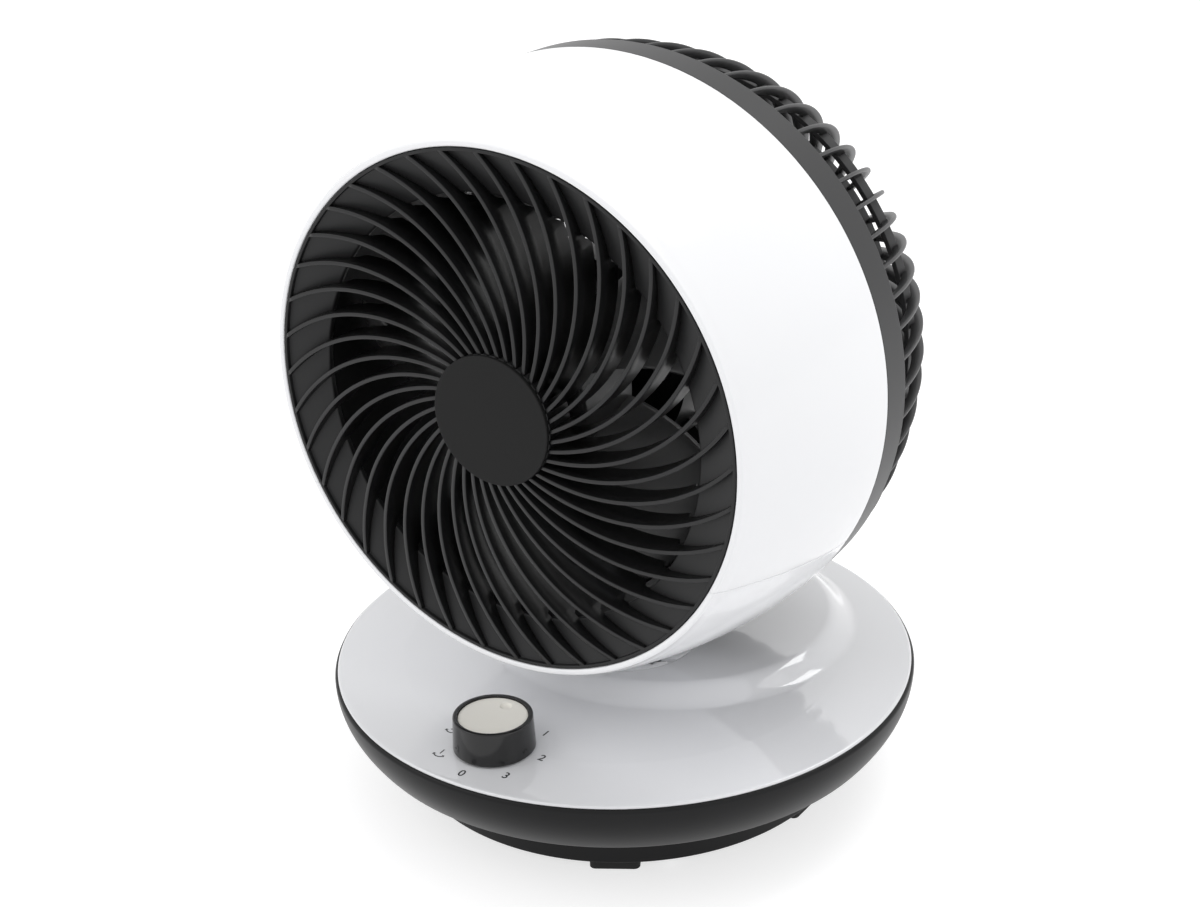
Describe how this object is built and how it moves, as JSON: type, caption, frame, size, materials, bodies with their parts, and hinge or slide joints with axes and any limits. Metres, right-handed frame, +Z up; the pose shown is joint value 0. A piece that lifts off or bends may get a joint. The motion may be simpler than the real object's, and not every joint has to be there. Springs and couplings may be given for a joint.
{
  "type": "air-circulator table fan",
  "caption": "Table air circulator: a drum head with a swirl front grille and a domed rear grille tilts on a turntable over a round base with a rotary knob.",
  "frame": {"origin": "on the table under the middle of the round base", "axes": "+Z up, -Y towards the front of the fan, +X to the right of someone who stands behind it"},
  "size_m": [0.2424, 0.2424, 0.3058],
  "materials": {
    "white_gloss": "gloss",
    "black_satin": "satin",
    "black_gloss": "gloss",
    "grey_gloss": "gloss",
    "hub_matte": "matte",
    "ivory_plastic": "satin",
    "foot_rubber": "matte",
    "gear_plastic": "satin",
    "zinc_steel": "satin",
    "lamination_steel": "satin",
    "motor_alloy": "satin",
    "enamel_copper": "gloss",
    "ballast_iron": "matte"
  },
  "bodies": {
    "base": {"base_bowl": "black_satin", "base_cover": "white_gloss", "bottom_plate": "black_satin", "feet": "foot_rubber", "ballast_ring": "ballast_iron", "cord_gland": "foot_rubber", "cover_screws": "zinc_steel", "plate_screws": "zinc_steel", "chassis": "black_satin", "chassis_screws": "zinc_steel", "swivel_bush": "gear_plastic", "capacitor": "black_satin", "rotary_switch": "black_satin", "switch_nut": "zinc_steel", "swing_motor": "zinc_steel", "swing_motor_screws": "zinc_steel"},
    "dial": {"switch_shaft": "zinc_steel", "knob": "black_gloss", "knob_cap": "ivory_plastic"},
    "swing_pinion": {"pinion": "gear_plastic"},
    "swivel": {"turntable": "white_gloss", "swivel_gear": "gear_plastic", "gear_screws": "zinc_steel", "tilt_pin": "zinc_steel", "friction_washers": "gear_plastic"},
    "head": {"tilt_bracket": "white_gloss", "bracket_screws": "zinc_steel", "shell_upper": "white_gloss", "shell_lower": "white_gloss", "shell_screws": "zinc_steel", "front_grille": "black_satin", "grille_cap": "hub_matte", "front_screw": "black_satin", "air_duct": "black_gloss", "rear_grille": "grey_gloss", "rear_screws": "zinc_steel", "motor_mount": "black_satin", "mount_screws": "zinc_steel", "motor_bolts": "zinc_steel", "motor_front_shell": "motor_alloy", "motor_rear_shell": "motor_alloy", "stator_core": "lamination_steel", "stator_windings": "enamel_copper", "front_bearing": "zinc_steel", "rear_bearing": "zinc_steel"},
    "fan": {"motor_shaft": "zinc_steel", "rotor": "lamination_steel", "impeller": "black_gloss", "impeller_nut": "black_satin"}
  },
  "joints": [
    {"name": "dial_turn", "type": "hinge", "parent": "base", "child": "dial", "pos_m": [0, -0.092, 0.0585], "axis": [0, 0, 1], "range_deg": [-144, 144]},
    {"name": "swing", "type": "hinge", "parent": "base", "child": "swivel", "pos_m": [0, 0, 0.0425], "axis": [0, 0, 1], "range_deg": [-40, 40]},
    {"name": "pinion_turn", "type": "hinge", "parent": "base", "child": "swing_pinion", "pos_m": [0, 0.03765, 0.0325], "axis": [0, 0, 1], "range_deg": [-160, 160]},
    {"name": "tilt", "type": "hinge", "parent": "swivel", "child": "head", "pos_m": [0, -0.012, 0.0585], "axis": [-1, 0, 0], "range_deg": [-5, 12]},
    {"name": "fan_spin", "type": "hinge", "parent": "head", "child": "fan", "pos_m": [0, -0.036, 0.1861], "axis": [0, -1, 0], "continuous": true}
  ],
  "couplings": [
    {"joint": "pinion_turn", "follows": "swing", "ratio": -4}
  ]
}
